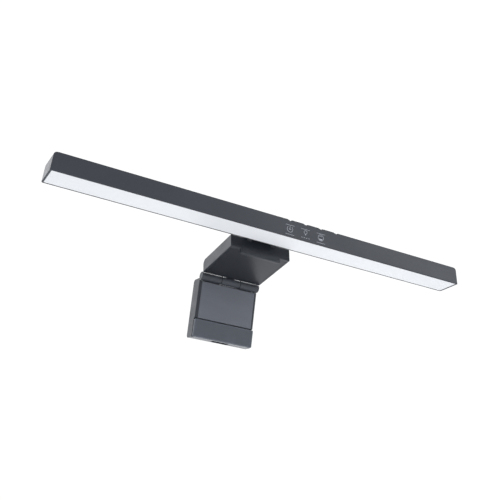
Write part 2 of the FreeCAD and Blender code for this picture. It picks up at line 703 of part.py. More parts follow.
def make_head_shell():
    """Upper casing with a rim under its front and the lip that hooks over the monitor's edge."""
    rim = block(COVER_HALF, HEAD_FRONT + HEAD_WALL, COVER_FRONT, 0.0, COVER_TOP)
    shell = joined(head_outer().cut(head_hollow()), rim)
    lip = block(LIP_WIDTH / 2, HEAD_FRONT, LIP_BACK, -LIP_DROP, LIP_ROOT)
    lip = rounded(lip, LIP_EDGE_RADIUS, X_DIR, lambda m: near(m.z, -LIP_DROP))
    lip = rounded(lip, LIP_CORNER_RADIUS, Y_DIR, lambda m: near(m.z, -LIP_DROP))
    shell = joined(shell, lip)
    bosses = [rod_z(BOSS_RADIUS, COVER_TOP, HEAD_ROOF, x, y) for x, y in boss_places()]
    shell = joined(shell, *bosses)
    for x, y in boss_places():
        shell = shell.cut(rod_z(COVER_SCREW_SHANK, COVER_TOP, HEAD_ROOF - COVER_SCREW_ROOF_GAP, x, y))
    shell = shell.cut(make_tilt_yoke())
    return shell.cut(make_head_hinge())


def make_head_cover():
    """Flat lower cover inside the casing's walls, with sunk screw holes."""
    cover = block(COVER_HALF, COVER_FRONT, COVER_BACK, SEAT_PAD, COVER_TOP)
    for x, y in boss_places():
        cover = cover.cut(rod_z(COVER_SCREW_SHANK, SEAT_PAD, COVER_TOP, x, y))
        cover = cover.cut(rod_z(COVER_SCREW_HEAD, SEAT_PAD, SEAT_PAD + COVER_SCREW_SINK, x, y))
    return cover


def make_cover_screws():
    """Four screws through the cover into the casing's bosses."""
    screws = []
    tip = HEAD_ROOF - COVER_SCREW_ROOF_GAP
    for x, y in boss_places():
        screws.append(screw_z(x, y, SEAT_PAD, COVER_SCREW_SINK, COVER_SCREW_HEAD, COVER_SCREW_SHANK, tip))
    return Part.makeCompound(screws)


def make_seat_pad():
    """Thin soft sheet under the cover, a seam's width clear of the casing all round."""
    pad = block(COVER_HALF - SEAM, COVER_FRONT + SEAM, COVER_BACK - SEAM, 0.0, SEAT_PAD)
    return rounded(pad, SEAT_PAD_CORNER, Z_DIR, lambda m: True)


def make_lip_pad():
    """Soft strip on the lip's inner face."""
    half = LIP_WIDTH / 2 - LIP_PAD_SIDE_INSET
    pad = block(half, LIP_BACK, COVER_FRONT, LIP_PAD_BOTTOM, LIP_PAD_TOP)
    return rounded(pad, LIP_EDGE_RADIUS, Y_DIR, lambda m: True)


def make_tilt_yoke():
    """Cast yoke: a plate under the head's roof and two ears that carry the tilt shaft."""
    plate_front = HEAD_FRONT + HEAD_WALL
    plate = block(YOKE_PLATE_HALF, plate_front, YOKE_PLATE_BACK, YOKE_LOW, HEAD_ROOF)
    lean = radians(TILT_EAR_LEAN_DEG)
    ear_outline = [
        (TILT_Y, TILT_Z),
        (TILT_Y + TILT_EAR_RADIUS * sin(lean), TILT_Z + TILT_EAR_RADIUS * cos(lean)),
        (TILT_EAR_BACK, HEAD_HEIGHT),
        (TILT_EAR_BACK, YOKE_LOW),
        (plate_front, YOKE_LOW),
        (HEAD_FRONT, HEAD_ROOF - TILT_EAR_CHAMFER),
        (TILT_Y - TILT_EAR_FRONT_GAP, TILT_Z - TILT_EAR_RADIUS),
    ]
    body = plate
    for x0, x1 in ((-TILT_EAR_OUTER, -TILT_EAR_INNER), (TILT_EAR_INNER, TILT_EAR_OUTER)):
        ear = joined(prism_x(ear_outline, x0, x1), rod_x(TILT_EAR_RADIUS, x0, x1, TILT_Y, TILT_Z))
        body = joined(body, ear)
    body = body.cut(rod_x(TILT_SHAFT_RADIUS, -FAR, FAR, TILT_Y, TILT_Z))
    for x in (-YOKE_SCREW_X, YOKE_SCREW_X):
        body = body.cut(rod_z(SMALL_SHANK, YOKE_LOW, HEAD_ROOF, x, YOKE_SCREW_Y))
    return body


def make_yoke_screws():
    """Two screws from below through the yoke's plate, ending at the roof."""
    return small_screw_pair(YOKE_SCREW_X, YOKE_SCREW_Y, YOKE_LOW - SMALL_HEAD_HEIGHT, HEAD_ROOF)


def make_tilt_shaft():
    """Friction shaft with a round head at one end, its threaded end under the nut."""
    tip = TILT_EAR_OUTER + 2 * DISC_SPRING + NUT_HEIGHT + SHAFT_TIP
    shaft = rod_x(TILT_SHAFT_RADIUS, -TILT_EAR_OUTER, tip, TILT_Y, TILT_Z)
    head = rod_x(SHAFT_HEAD_RADIUS, -TILT_EAR_OUTER - SHAFT_HEAD, -TILT_EAR_OUTER, TILT_Y, TILT_Z)
    return joined(shaft, head)


def washer_x(radius, x0, x1):
    disc = rod_x(radius, x0, x1, TILT_Y, TILT_Z)
    return disc.cut(rod_x(TILT_SHAFT_RADIUS, x0, x1, TILT_Y, TILT_Z))


def make_tilt_washers():
    """Friction washers on the inner side of each ear."""
    return mirrored_pair(washer_x(TILT_KNUCKLE_RADIUS, TILT_EAR_INNER - TILT_WASHER, TILT_EAR_INNER))


def make_disc_springs():
    """Two disc springs that press the ears together under the nut."""
    springs = []
    for index, radius in enumerate(DISC_SPRING_RADII):
        start = TILT_EAR_OUTER + index * DISC_SPRING
        springs.append(washer_x(radius, start, start + DISC_SPRING))
    return Part.makeCompound(springs)


def make_tilt_nut():
    """Hexagon nut on the shaft's threaded end."""
    x0 = TILT_EAR_OUTER + 2 * DISC_SPRING
    corner = NUT_FLATS / 2 / cos(radians(30))
    outline = []
    for index in range(6):
        angle = radians(60 * index)
        outline.append((TILT_Y + corner * cos(angle), TILT_Z + corner * sin(angle)))
    nut = prism_x(outline, x0, x0 + NUT_HEIGHT)
    return nut.cut(rod_x(TILT_SHAFT_RADIUS, x0, x0 + NUT_HEIGHT, TILT_Y, TILT_Z))


def tangent_point(from_y, from_z):
    """Where a line from a point above the hinge barrel touches it on its far side."""
    dy = from_y - HINGE_Y
    dz = from_z - HINGE_Z
    turn = acos(HINGE_RADIUS / hypot(dy, dz))
    angle = atan2(dz, dy) - turn
    return (HINGE_Y + HINGE_RADIUS * cos(angle), HINGE_Z + HINGE_RADIUS * sin(angle))


def round_end(barrel, x, radius):
    """Round the rim of a hinge barrel at one place along X."""
    rims = []
    for edge in barrel.Edges:
        if isinstance(edge.Curve, Part.Circle) and near(edge.CenterOfMass.x, x):
            rims.append(edge)
    return barrel.makeFillet(radius, rims)


def make_head_hinge():
    """Cast hinge: a plate on the lower cover, a neck out of the head's back and the middle knuckle."""
    plate = block(HINGE_PLATE_HALF, HINGE_PLATE_FRONT, COVER_BACK, COVER_TOP, HINGE_PLATE_TOP)
    neck_angle = radians(HINGE_NECK_DEG)
    neck_outline = [
        (COVER_BACK, COVER_TOP),
        (HEAD_BACK, COVER_TOP),
        (HINGE_Y + HINGE_RADIUS * cos(neck_angle), HINGE_Z + HINGE_RADIUS * sin(neck_angle)),
        (HINGE_Y, HINGE_Z),
        tangent_point(HEAD_BACK, HINGE_PLATE_TOP),
        (HEAD_BACK, HINGE_PLATE_TOP),
        (COVER_BACK, HINGE_PLATE_TOP),
    ]
    neck = prism_x(neck_outline, -HINGE_NECK_HALF, HINGE_NECK_HALF)
    knuckle = rod_x(HINGE_RADIUS, -HINGE_KNUCKLE_HALF, HINGE_KNUCKLE_HALF, HINGE_Y, HINGE_Z)
    for x in (-HINGE_KNUCKLE_HALF, HINGE_KNUCKLE_HALF):
        knuckle = round_end(knuckle, x, HINGE_SPLIT_RADIUS)
    body = joined(plate, neck, knuckle)
    body = body.cut(rod_x(HINGE_BUSH_RADIUS, -FAR, FAR, HINGE_Y, HINGE_Z))
    for x in (-HINGE_SCREW_X, HINGE_SCREW_X):
        body = body.cut(rod_z(SMALL_SHANK, COVER_TOP, HINGE_PLATE_TOP, x, HINGE_SCREW_Y))
    return body


def make_hinge_screws():
    """Two screws that hold the hinge's plate down onto the lower cover."""
    return small_screw_pair(HINGE_SCREW_X, HINGE_SCREW_Y, HINGE_PLATE_TOP + SMALL_HEAD_HEIGHT, COVER_TOP)


def make_hinge_bush():
    """Plain bearing sleeve pressed into the middle knuckle."""
    sleeve = rod_x(HINGE_BUSH_RADIUS, -HINGE_KNUCKLE_HALF, HINGE_KNUCKLE_HALF, HINGE_Y, HINGE_Z)
    return sleeve.cut(rod_x(HINGE_BUSH_BORE, -FAR, FAR, HINGE_Y, HINGE_Z))


def make_head_lead():
    """Wires through the head from the tilt joint to the leg hinge."""
    start_y, bend_y, shifted_y, end_y = HEAD_LEAD_YS
    route = [
        (0.0, start_y, HEAD_LEAD_Z),
        (0.0, bend_y, HEAD_LEAD_Z),
        (HEAD_LEAD_SHIFT, shifted_y, HEAD_LEAD_Z),
        (HEAD_LEAD_SHIFT, end_y, HEAD_LEAD_Z),
    ]
    return lead(route, HEAD_LEAD_RADIUS)


# ---- leg ----------------------------------------------------------------------------------------
def make_leg_end_pad():
    """Soft plate over the front of the leg's end, round at its corners and all round its front."""
    pad = block(LEG_HALF, PAD_FRONT, PAD_BACK, LEG_BOTTOM, PAD_TOP)
    pad = rounded(pad, PAD_CORNER_RADIUS, Y_DIR, lambda m: True)
    front_edges = [edge for edge in pad.Edges if near(edge.BoundBox.YMax, PAD_FRONT)]
    return pad.makeFillet(PAD_RIM_RADIUS, front_edges)


def leg_outer():
    body = block(LEG_HALF, LEG_FRONT, LEG_BACK, LEG_BOTTOM, LEG_TOP)
    body = rounded(body, LEG_BACK_RADIUS, X_DIR, lambda m: near(m.y, LEG_BACK))
    body = rounded(body, LEG_FRONT_RADIUS, Z_DIR, lambda m: near(m.y, LEG_FRONT))
    return body.cut(rod_x(LEG_TROUGH_RADIUS, -FAR, FAR))


def leg_hollow():
    """The room inside the leg, from behind the panel's ledges and the wall behind the end pad."""
    top = LEG_TOP - LEG_WALL
    half = LEG_HALF - LEG_WALL
    front = LEG_INNER_FRONT + LEG_LEDGE
    upper = block(half, front, LEG_INNER_BACK, PAD_TOP, top)
    lower = block(half, PAD_WALL_BACK, LEG_INNER_BACK, LEG_BOTTOM + LEG_WALL, PAD_TOP)
    ledge_bottom = LEG_PANEL_BOTTOM + LEG_LEDGE
    behind_panel = block(LEG_LEDGE_HALF, LEG_INNER_FRONT, front, ledge_bottom, top)
    hollow = joined(upper, lower, behind_panel)
    hollow = hollow.cut(rod_x(LEG_TROUGH_RADIUS + LEG_WALL, -FAR, FAR))
    inner_radius = LEG_BACK_RADIUS - LEG_WALL
    return rounded(hollow, inner_radius, X_DIR, lambda m: near(m.y, LEG_INNER_BACK))


def panel_pocket():
    """The opening in the leg's front that the panel closes."""
    half = LEG_HALF - LEG_PANEL_MARGIN
    return block(half, LEG_FRONT - 1, LEG_INNER_FRONT, LEG_PANEL_BOTTOM, LEG_TOP)


def pad_pocket():
    """The room for the pad, with a gap above it and a groove behind its side edges."""
    pocket = block(LEG_HALF + 1, PAD_FRONT - 1, PAD_BACK, LEG_BOTTOM - 1, LEG_PANEL_BOTTOM)
    groove = block(LEG_HALF + 1, PAD_BACK, PAD_BACK + PAD_GROOVE, LEG_BOTTOM - 1, LEG_PANEL_BOTTOM)
    between = block(LEG_HALF - PAD_GROOVE_DEPTH, PAD_BACK, LEG_BACK, LEG_BOTTOM - 2, 0.0)
    return joined(pocket, groove.cut(between))


def port_recess():
    """Pocket in the leg's lower end around the power socket's mouth."""
    half_y = PORT_DEPTH / 2
    pocket = block(PORT_WIDTH / 2, PORT_Y - half_y, PORT_Y + half_y, LEG_BOTTOM - 1, USB_MOUTH)
    return rounded(pocket, PORT_CORNER, Z_DIR, lambda m: True)


def port_wall():
    """The solid round the pocket."""
    half_y = PORT_DEPTH / 2 + PORT_WALL
    top = USB_MOUTH + PORT_WALL
    return block(PORT_WIDTH / 2 + PORT_WALL, PORT_Y - half_y, PORT_Y + half_y, LEG_BOTTOM, top)


def usb_outline(inset, z0, z1):
    """The stadium-shaped section of a USB-C socket, less an inset all round."""
    radius = USB_THICKNESS / 2 - inset
    reach = USB_WIDTH / 2 - USB_THICKNESS / 2
    middle = block(reach, PORT_Y - radius, PORT_Y + radius, z0, z1)
    ends = [rod_z(radius, z0, z1, side * reach, PORT_Y) for side in (-1, 1)]
    return joined(middle, *ends)


def make_leg_shell():
    """Casing of the leg: back, sides, ends and the trough for the hinge barrel."""
    shell = leg_outer().cut(leg_hollow())
    shell = shell.cut(panel_pocket())
    shell = shell.cut(pad_pocket())
    shell = joined(shell, port_wall()).cut(port_recess())
    shell = shell.cut(usb_outline(0.0, USB_MOUTH, USB_MOUTH + 2))
    for x in (-WEIGHT_BOSS_X, WEIGHT_BOSS_X):
        shell = joined(shell, rod_y(WEIGHT_BOSS_RADIUS, WEIGHT_BACK, LEG_INNER_BACK, x, WEIGHT_BOSS_Z))
        shell = shell.cut(rod_y(SMALL_SHANK, WEIGHT_BACK, LEG_INNER_BACK, x, WEIGHT_BOSS_Z))
    return shell.cut(make_leg_hinge())


def make_leg_panel():
    """Flat front panel of the leg, set between the casing's rounded sides."""
    half = LEG_HALF - LEG_PANEL_MARGIN - LEG_PANEL_CLEARANCE
    panel = block(half, LEG_FRONT, LEG_INNER_FRONT, LEG_PANEL_BOTTOM, LEG_PANEL_TOP)
    front_edges = [edge for edge in panel.Edges if near(edge.BoundBox.YMax, LEG_FRONT)]
    return panel.makeFillet(LEG_PANEL_RADIUS, front_edges)


def make_counterweight():
    """Solid metal block that balances the bar, with two screw holes."""
    body = block(WEIGHT_HALF, WEIGHT_FRONT, WEIGHT_BACK, WEIGHT_BOTTOM, WEIGHT_TOP)
    body = rounded(body, WEIGHT_CORNER, Y_DIR, lambda m: True)
    groove_floor = WEIGHT_FRONT + WEIGHT_GROOVE_DEPTH
    body = body.cut(block(WEIGHT_GROOVE_HALF, WEIGHT_FRONT, groove_floor, WEIGHT_BOTTOM, WEIGHT_TOP))
    for x in (-WEIGHT_BOSS_X, WEIGHT_BOSS_X):
        body = body.cut(rod_y(SMALL_SHANK, WEIGHT_FRONT, WEIGHT_BACK, x, WEIGHT_BOSS_Z))
        body = body.cut(rod_y(SMALL_HEAD, WEIGHT_FRONT, WEIGHT_FRONT + WEIGHT_SCREW_SINK, x, WEIGHT_BOSS_Z))
    return body


def make_weight_screws():
    """Two screws through the weight into the casing's bosses."""
    head_back = WEIGHT_FRONT + WEIGHT_SCREW_SINK
    head_front = head_back - SMALL_HEAD_HEIGHT
    head = rod_y(SMALL_HEAD, head_front, head_back, WEIGHT_BOSS_X, WEIGHT_BOSS_Z)
    shank = rod_y(SMALL_SHANK, head_back, LEG_INNER_BACK, WEIGHT_BOSS_X, WEIGHT_BOSS_Z)
    return mirrored_pair(joined(head, shank))


def make_leg_hinge():
    """Cast hinge: the two outer knuckles, a web from each into the leg and a flange inside its top."""
    body = block(LEG_FLANGE_HALF, LEG_FLANGE_FRONT, LEG_FLANGE_BACK, LEG_FLANGE_BOTTOM, LEG_FLANGE_TOP)
    for x0, x1 in OUTER_KNUCKLES:
        knuckle = rod_x(HINGE_RADIUS, x0, x1)
        for x in (x0, x1):
            radius = HINGE_END_RADIUS if near(abs(x), HEAD_HALF) else HINGE_SPLIT_RADIUS
            knuckle = round_end(knuckle, x, radius)
        web_start = max(x0, -LEG_FLANGE_HALF)
        web_end = min(x1, LEG_FLANGE_HALF)
        web = box(web_start, web_end, LEG_WEB_FRONT, LEG_WEB_BACK, LEG_FLANGE_TOP, LEG_TOP - LEG_WEB_TOP_GAP)
        body = joined(body, knuckle, web)
    body = body.cut(rod_x(HINGE_PIN_RADIUS, -FAR, FAR))
    return body.cut(make_hinge_caps())


def make_hinge_pin():
    """Pin through all three knuckles, tight in the outer two."""
    reach = HEAD_HALF - HINGE_CAP_THICKNESS
    return rod_x(HINGE_PIN_RADIUS, -reach, reach)


def make_hinge_caps():
    """Round plugs that close the ends of the barrel."""
    return mirrored_pair(rod_x(HINGE_CAP_RADIUS, HEAD_HALF - HINGE_CAP_THICKNESS, HEAD_HALF))


def make_inlet_board():
    """Small board behind the power socket."""
    return block(BOARD_HALF, BOARD_FRONT, BOARD_FRONT + BOARD_THICKNESS, USB_MOUTH + PORT_WALL, BOARD_TOP)


def make_usb_shell():
    """Metal shell of the power socket."""
    outer = usb_outline(0.0, USB_MOUTH, USB_MOUTH + USB_LENGTH)
    inner = usb_outline(USB_SHELL, USB_MOUTH - 1, USB_END)
    return outer.cut(inner)


def make_usb_tongue():
    """Contact tongue in the middle of the socket."""
    half = TONGUE_THICKNESS / 2
    return block(TONGUE_WIDTH / 2, PORT_Y - half, PORT_Y + half, USB_END - TONGUE_LENGTH, USB_END)


def make_leg_lead():
    """Wires from the inlet board up the groove in the weight to the hinge."""
    groove_y = WEIGHT_FRONT + WEIGHT_GROOVE_DEPTH / 2
    route = [
        (0.0, BOARD_FRONT, LEG_LEAD_START_Z),
        (0.0, BOARD_FRONT - 2 * LEG_LEAD_RADIUS, LEG_LEAD_START_Z),
        (0.0, groove_y, LEG_LEAD_BEND_Z),
        (0.0, groove_y, LEG_FLANGE_BOTTOM),
    ]
    return lead(route, LEG_LEAD_RADIUS)


# ---- all nodes ----------------------------------------------------------------------------------
BAR_NODES = {
    "bar_housing": make_bar_housing,
    "end_cap_left": lambda: make_end_cap(-1),
    "end_cap_right": lambda: make_end_cap(1),
    "diffuser": make_diffuser,
    "reflector": make_reflector,
    "heat_spreader": make_heat_spreader,
    "led_board": make_led_board,
    "warm_leds": lambda: make_leds(0.0),
    "cool_leds": lambda: make_leds(LED_PITCH / 2),
    "touch_board": make_touch_board,
    "touch_contacts": make_touch_contacts,
    "driver_chips": make_driver_chips,
    "touch_icons": make_touch_icons,
    "tilt_bracket": make_tilt_bracket,
    "bracket_screws": make_bracket_screws,
    "bar_lead": make_bar_lead,
}

HEAD_NODES = {
    "head_shell": make_head_shell,
    "head_cover": make_head_cover,
    "cover_screws": make_cover_screws,
    "seat_pad": make_seat_pad,
    "lip_pad": make_lip_pad,
    "tilt_yoke": make_tilt_yoke,
    "yoke_screws": make_yoke_screws,
    "tilt_shaft": make_tilt_shaft,
    "tilt_washers": make_tilt_washers,
    "disc_springs": make_disc_springs,
    "tilt_nut": make_tilt_nut,
    "head_hinge": make_head_hinge,
    "hinge_screws": make_hinge_screws,
    "hinge_bush": make_hinge_bush,
    "head_lead": make_head_lead,
}

LEG_NODES = {
    "leg_shell": make_leg_shell,
    "leg_panel": make_leg_panel,
    "leg_end_pad": make_leg_end_pad,
    "counterweight": make_counterweight,
    "weight_screws": make_weight_screws,
    "leg_hinge": make_leg_hinge,
    "hinge_pin": make_hinge_pin,
    "hinge_caps": make_hinge_caps,
    "inlet_board": make_inlet_board,
    "usb_shell": make_usb_shell,
    "usb_tongue": make_usb_tongue,
    "leg_lead": make_leg_lead,
}


def export(nodes, place):
    for name, make in nodes.items():
        shape = place(make())
        shape.exportStep("parts/" + name + ".step")
        print(name, len(shape.Solids), round(shape.Volume, 1), shape.isValid())


os.makedirs("parts", exist_ok=True)
export(BAR_NODES, place_bar)
export(HEAD_NODES, lambda shape: shape)
export(LEG_NODES, place_leg)
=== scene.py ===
import json
import math

import bmesh
import bpy
from mathutils import Matrix, Vector


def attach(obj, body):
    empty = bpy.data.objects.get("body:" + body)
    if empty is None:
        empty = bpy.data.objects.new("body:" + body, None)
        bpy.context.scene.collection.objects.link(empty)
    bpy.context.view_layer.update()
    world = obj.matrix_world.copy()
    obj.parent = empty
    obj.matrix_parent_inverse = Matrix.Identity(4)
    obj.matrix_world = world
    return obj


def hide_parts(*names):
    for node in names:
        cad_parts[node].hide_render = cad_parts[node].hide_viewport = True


# The looks of a monitor light bar: studio, materials, and the fine pieces that the frame leaves plain.
# Metres, in the frame's own axes: X along the bar, Y towards the back, Z up.

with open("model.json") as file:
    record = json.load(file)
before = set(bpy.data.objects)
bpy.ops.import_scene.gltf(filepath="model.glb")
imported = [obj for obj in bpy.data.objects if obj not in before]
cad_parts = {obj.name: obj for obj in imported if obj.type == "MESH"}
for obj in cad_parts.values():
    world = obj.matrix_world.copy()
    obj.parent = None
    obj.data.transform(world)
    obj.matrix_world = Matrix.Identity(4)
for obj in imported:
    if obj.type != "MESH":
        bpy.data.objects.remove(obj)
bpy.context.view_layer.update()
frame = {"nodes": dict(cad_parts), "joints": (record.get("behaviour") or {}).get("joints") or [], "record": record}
nodes = frame["nodes"]
joints = {joint["name"]: joint for joint in frame["joints"]}
MM = 0.001

# ---- camera and studio --------------------------------------------------------------------------
# The camera was found by fitting its view to the straight edges of the object in the photo.
CAMERA_AZIMUTH = math.radians(29.89)
CAMERA_ELEVATION = math.radians(29.575)
CAMERA_ROLL = math.radians(-0.913)
CAMERA_DISTANCE = 0.687
CAMERA_TARGET = Vector((-0.01622, -0.03599, -0.00506))
CAMERA_LENS = 57.27
FLOOR_HEIGHT = -0.72
FLOOR_HALF_WIDTH = 4.0


def make_camera():
    """Looks up at the object from the front left and below."""
    forward = Vector((
        math.sin(CAMERA_AZIMUTH) * math.cos(CAMERA_ELEVATION),
        math.cos(CAMERA_AZIMUTH) * math.cos(CAMERA_ELEVATION),
        math.sin(CAMERA_ELEVATION),
    ))
    right = Vector((math.cos(CAMERA_AZIMUTH), -math.sin(CAMERA_AZIMUTH), 0.0))
    up = right.cross(forward)
    rolled_right = right * math.cos(CAMERA_ROLL) + up * math.sin(CAMERA_ROLL)
    rolled_up = up * math.cos(CAMERA_ROLL) - right * math.sin(CAMERA_ROLL)
    data = bpy.data.cameras.new("camera")
    data.lens = CAMERA_LENS
    data.sensor_width = 36.0
    data.clip_start = 0.01
    data.clip_end = 50.0
    camera = bpy.data.objects.new("camera", data)
    turn = Matrix((rolled_right, rolled_up, -forward)).transposed().to_4x4()
    camera.matrix_world = Matrix.Translation(CAMERA_TARGET - forward * CAMERA_DISTANCE) @ turn
    bpy.context.scene.collection.objects.link(camera)
    bpy.context.scene.camera = camera


def make_world():
    """Lights the object evenly with a slightly blue white; the camera sees plain white behind it."""
    world = bpy.data.worlds.new("studio")
    world.use_nodes = True
    tree = world.node_tree
    tree.nodes.clear()
    output = tree.nodes.new("ShaderNodeOutputWorld")
    surround = tree.nodes.new("ShaderNodeBackground")
    backdrop = tree.nodes.new("ShaderNodeBackground")
    path = tree.nodes.new("ShaderNodeLightPath")
    mix = tree.nodes.new("ShaderNodeMixShader")
    surround.inputs["Color"].default_value = (0.92, 0.96, 1.03, 1.0)
    surround.inputs["Strength"].default_value = 0.8
    backdrop.inputs["Color"].default_value = (1.0, 1.0, 1.0, 1.0)
    backdrop.inputs["Strength"].default_value = 1.05
    tree.links.new(path.outputs["Is Camera Ray"], mix.inputs["Fac"])
    tree.links.new(surround.outputs[0], mix.inputs[1])
    tree.links.new(backdrop.outputs[0], mix.inputs[2])
    tree.links.new(mix.outputs[0], output.inputs["Surface"])
    bpy.context.scene.world = world


def area_light(name, place, size, power):
    """A rectangular light aimed at the frame's origin and hidden from the camera; size is (wide, high)."""
    data = bpy.data.lights.new(name, "AREA")
    data.shape = "RECTANGLE"
    data.size, data.size_y = size
    data.energy = power
    light = bpy.data.objects.new(name, data)
    light.location = place
    light.rotation_euler = (-Vector(place)).to_track_quat("-Z", "Y").to_euler()
    light.visible_camera = False
    bpy.context.scene.collection.objects.link(light)


def make_lights():
    """Large soft boxes all round the object and one low fill light in front."""
    area_light("softbox_right", (1.6, -1.5, 0.6), (1.6, 1.6), 9.0)
    area_light("softbox_top", (-0.2, -0.3, 1.8), (1.6, 1.6), 9.0)
    area_light("softbox_top_rear", (0.85, 0.1, 1.75), (1.2, 0.45), 17.0)
    area_light("softbox_left_rear", (-0.96, 1.65, 1.1), (1.5, 1.5), 6.5)
    area_light("fill_front_low", (-0.4, -1.1, -0.62), (1.2, 0.6), 1.3)
    area_light("softbox_rear_low", (1.3, 2.4, -0.2), (1.4, 0.9), 5.5)


def make_floor():
    """Wide pale floor far below the object and the camera."""
    half = FLOOR_HALF_WIDTH
    mesh = bpy.data.meshes.new("floor")
    corners = [(-half, -half, 0), (half, -half, 0), (half, half, 0), (-half, half, 0)]
    mesh.from_pydata(corners, [], [(0, 1, 2, 3)])
    floor = bpy.data.objects.new("floor", mesh)
    floor.location.z = FLOOR_HEIGHT
    bpy.context.scene.collection.objects.link(floor)
    paint = bpy.data.materials.new("floor_paint")
    paint.use_nodes = True
    shader = paint.node_tree.nodes["Principled BSDF"]
    shader.inputs["Base Color"].default_value = (0.85, 0.85, 0.85, 1.0)
    shader.inputs["Roughness"].default_value = 0.9
    mesh.materials.append(paint)


# ---- material building --------------------------------------------------------------------------
class Finish:
    """A Principled material with helpers for the node chains that every finish here uses."""

    def __init__(self, name, roughness, metallic=0.0, ior=1.5):
        self.material = bpy.data.materials.new(name)
        self.material.use_nodes = True
        self.tree = self.material.node_tree
        self.shader = self.tree.nodes["Principled BSDF"]
        self.shader.inputs["Metallic"].default_value = metallic
        self.shader.inputs["Roughness"].default_value = roughness
        self.shader.inputs["IOR"].default_value = ior
        self.place = self.node("ShaderNodeTexCoord").outputs["Object"]

    def node(self, kind, **settings):
        made = self.tree.nodes.new(kind)
        for key, value in settings.items():
            setattr(made, key, value)
        return made

    def link(self, source, target):
        self.tree.links.new(source, target)

    def feed(self, value, target):
        """Link value where it is a socket. A plain colour or number is set on the target itself."""
        if isinstance(value, bpy.types.NodeSocket):
            self.link(value, target)
        elif isinstance(value, tuple):
            target.default_value = (*value, 1.0)
        else:
            target.default_value = value

    def stretched(self, x, y, z):
        """The object's coordinates, scaled along each axis."""
        mapping = self.node("ShaderNodeMapping")
        mapping.inputs["Scale"].default_value = (x, y, z)
        self.link(self.place, mapping.inputs["Vector"])
        return mapping.outputs["Vector"]

    def noise(self, scale, detail=2.0, vector=None):
        """Soft noise; scale is about the number of its blotches in a metre."""
        made = self.node("ShaderNodeTexNoise")
        made.inputs["Scale"].default_value = scale
        made.inputs["Detail"].default_value = detail
        self.link(vector or self.place, made.inputs["Vector"])
        return made.outputs["Fac"]

    def cells(self, scale):
        """Distance to the nearest cell's middle; scale is about the number of cells in a metre."""
        made = self.node("ShaderNodeTexVoronoi")
        made.inputs["Scale"].default_value = scale
        self.link(self.place, made.inputs["Vector"])
        return made.outputs["Distance"]

    def span(self, value, low, high, from_low=0.3, from_high=0.7):
        """value, carried from the range from_low to from_high to the range low to high, and clamped."""
        made = self.node("ShaderNodeMapRange")
        made.inputs["From Min"].default_value = from_low
        made.inputs["From Max"].default_value = from_high
        made.inputs["To Min"].default_value = low
        made.inputs["To Max"].default_value = high
        self.link(value, made.inputs["Value"])
        return made.outputs["Result"]

    def blend(self, factor, first, second):
        """Colour from first to second; each is a colour or a socket."""
        made = self.node("ShaderNodeMix", data_type="RGBA")
        self.link(factor, made.inputs["Factor"])
        self.feed(first, made.inputs["A"])
        self.feed(second, made.inputs["B"])
        return made.outputs["Result"]

    def arithmetic(self, operation, first, second):
        """first and second through one Math node; each is a number or a socket."""
        made = self.node("ShaderNodeMath", operation=operation)
        self.feed(first, made.inputs[0])
        self.feed(second, made.inputs[1])
        return made.outputs[0]

    def product(self, first, second):
        return self.arithmetic("MULTIPLY", first, second)

    def total(self, first, second):
        return self.arithmetic("ADD", first, second)

    def edges(self, width):
        """1 along sharp edges, 0 on flat faces."""
        bevel = self.node("ShaderNodeBevel", samples=4)
        bevel.inputs["Radius"].default_value = width
        geometry = self.node("ShaderNodeNewGeometry")
        dot = self.node("ShaderNodeVectorMath", operation="DOT_PRODUCT")
        self.link(bevel.outputs["Normal"], dot.inputs[0])
        self.link(geometry.outputs["Normal"], dot.inputs[1])
        return self.span(dot.outputs["Value"], 1.0, 0.0, 0.75, 0.98)

    def colour(self, source):
        self.link(source, self.shader.inputs["Base Color"])

    def roughness(self, source):
        self.link(source, self.shader.inputs["Roughness"])

    def bump(self, height, depth):
        """Shade the surface as if height, times depth in metres, stood out from it."""
        made = self.node("ShaderNodeBump")
        made.inputs["Distance"].default_value = depth
        self.link(height, made.inputs["Height"])
        self.link(made.outputs["Normal"], self.shader.inputs["Normal"])


def scaled(colour, factor):
    return tuple(min(1.0, part * factor) for part in colour)


# ---- kinds of finish ----------------------------------------------------------------------------
PLASTIC_EDGE_WIDTH = 0.5 * MM
PLASTIC_PIT_DEPTH = 0.012 * MM
# How far the painted rim highlight on rubber reaches in from its edges.
RUBBER_HIGHLIGHT_EDGE_WIDTH = 1.6 * MM
RUBBER_PIT_DEPTH = 0.01 * MM
FROSTING_DEPTH = 0.006 * MM
PAINT_EDGE_WIDTH = 0.3 * MM
ORANGE_PEEL_DEPTH = 0.02 * MM
BRUSHING_DEPTH = 0.008 * MM
SAND_CAST_DEPTH = 0.06 * MM
TRACK_DEPTH = 0.01 * MM
FINE_GRAIN_DEPTH = 0.006 * MM


def moulded_plastic(name, colour, roughness, edge_wear_and_highlight=0.5):
    """Spark-textured moulding: fine pits, faint flow mottling, slightly polished lighter edges."""
    finish = Finish(name, roughness)
    flow = finish.noise(38.0, 3.0, finish.stretched(0.35, 1.0, 1.0))
    mottled = finish.blend(finish.span(flow, 0.0, 1.0), scaled(colour, 0.9), scaled(colour, 1.12))
    speck = finish.span(finish.noise(3600.0), 0.0, 0.5, 0.45, 0.8)
    grained = finish.blend(speck, mottled, scaled(colour, 1.5))
    patches = finish.span(finish.noise(300.0), 0.2 * edge_wear_and_highlight, edge_wear_and_highlight)
    wear_and_highlight_mask = finish.product(finish.edges(PLASTIC_EDGE_WIDTH), patches)
    finish.colour(finish.blend(wear_and_highlight_mask, grained, scaled(colour, 2.6)))
    rub = finish.noise(90.0, 4.0, finish.stretched(0.3, 1.0, 1.0))
    finish.roughness(finish.span(rub, roughness - 0.05, roughness + 0.06))
    finish.bump(finish.total(finish.cells(2300.0), finish.noise(5200.0)), PLASTIC_PIT_DEPTH)
    return finish.material


